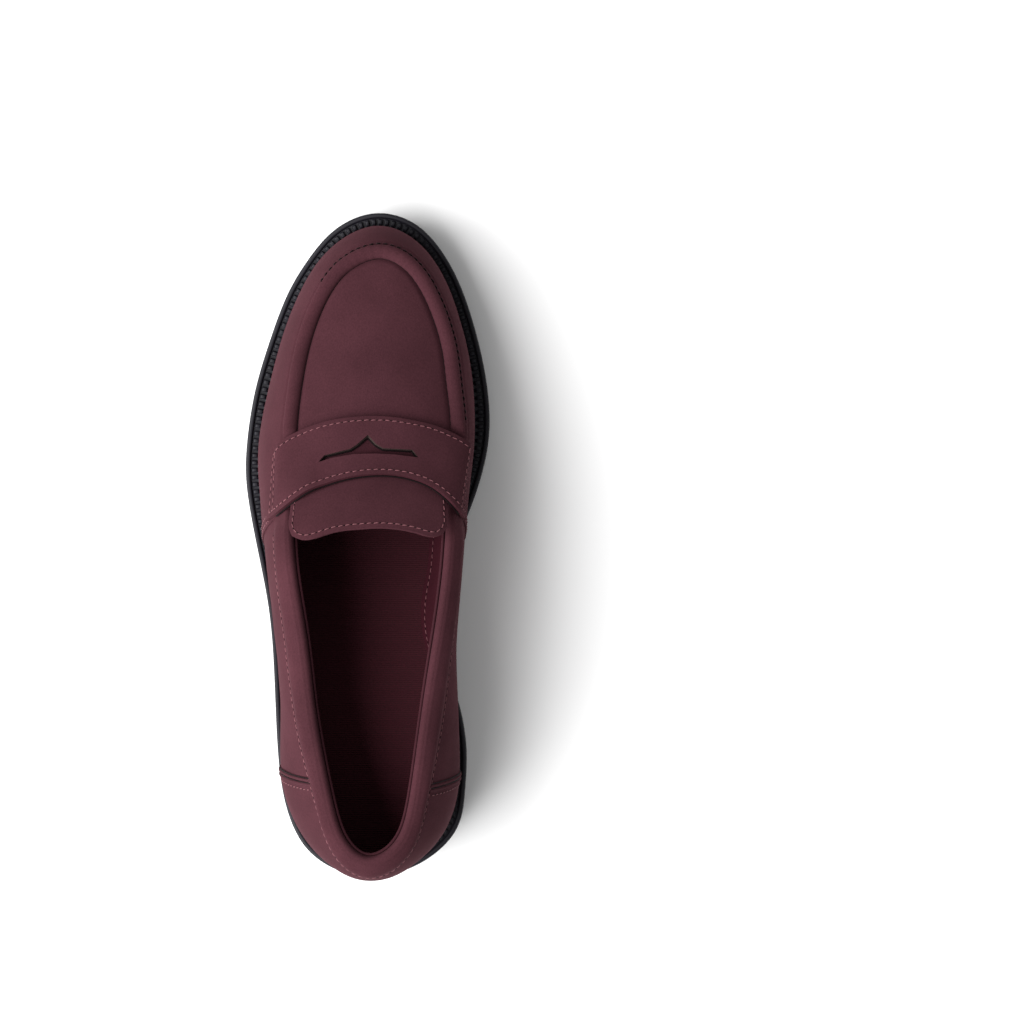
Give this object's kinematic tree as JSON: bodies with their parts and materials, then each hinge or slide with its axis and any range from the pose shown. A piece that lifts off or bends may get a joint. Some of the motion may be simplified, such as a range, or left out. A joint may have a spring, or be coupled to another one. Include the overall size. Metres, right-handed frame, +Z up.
{
  "type": "penny loafer",
  "caption": "Left slip-on shoe with a raised apron seam, a saddle strap with a penny slot, a padded collar and a low-heeled rubber sole.",
  "frame": {"origin": "on the ground under the middle of the shoe's length and width", "axes": "+Y to the toe, +X to the inner (medial) side of this left shoe, +Z up"},
  "size_m": [0.0992, 0.2676, 0.0885],
  "materials": {
    "tread_rubber": "matte moulded rubber",
    "sole_rubber": "matte moulded rubber",
    "welt_rubber": "matte moulded rubber with fine ribs",
    "cork_filler": "granular cork",
    "shank_steel": "plain spring steel",
    "nail_steel": "plain steel",
    "fibre_board": "pressed fibre",
    "foam": "open cell foam",
    "sock_fabric": "finely ribbed textile",
    "nubuck": "matte nubuck",
    "binding_leather": "smooth matte leather",
    "stiffener_board": "resin-stiffened textile",
    "lining_fabric": "textile lining",
    "thread": "bonded polyester thread"
  },
  "bodies": {
    "shoe": {"outsole": "tread_rubber", "heel_top_piece": "tread_rubber", "midsole": "sole_rubber", "heel_block": "sole_rubber", "welt": "welt_rubber", "bottom_filler": "cork_filler", "shank": "shank_steel", "heel_nails": "nail_steel", "insole_board": "fibre_board", "footbed": "foam", "collar_foam": "foam", "sock_liner": "sock_fabric", "vamp_wall": "nubuck", "apron_plug": "nubuck", "apron_bead": "nubuck", "quarter_lateral": "nubuck", "quarter_medial": "nubuck", "heel_panel": "nubuck", "collar_band": "nubuck", "heel_piping_lateral": "nubuck", "heel_piping_medial": "nubuck", "saddle_strap": "nubuck", "strap_backing": "nubuck", "tongue_base": "nubuck", "topline_binding": "binding_leather", "heel_counter": "stiffener_board", "toe_puff": "stiffener_board", "vamp_lining": "lining_fabric", "apron_lining": "lining_fabric", "quarter_lining_lateral": "lining_fabric", "quarter_lining_medial": "lining_fabric", "heel_grip_lining": "lining_fabric", "stitching_apron": "thread", "stitching_strap": "thread", "stitching_collar": "thread", "stitching_heel_panel": "thread", "stitching_vamp": "thread"},
    "tongue": {"tongue_flap": "nubuck", "tongue_flap_lining": "lining_fabric", "stitching_tongue": "thread"}
  },
  "joints": [
    {"name": "tongue_lift", "type": "hinge", "parent": "shoe", "child": "tongue", "pos_m": [0.003, 0.0145, 0.079], "axis": [-1, 0, 0], "range_deg": [0, 30], "stiffness_Nm_per_rad": 0.05}
  ]
}
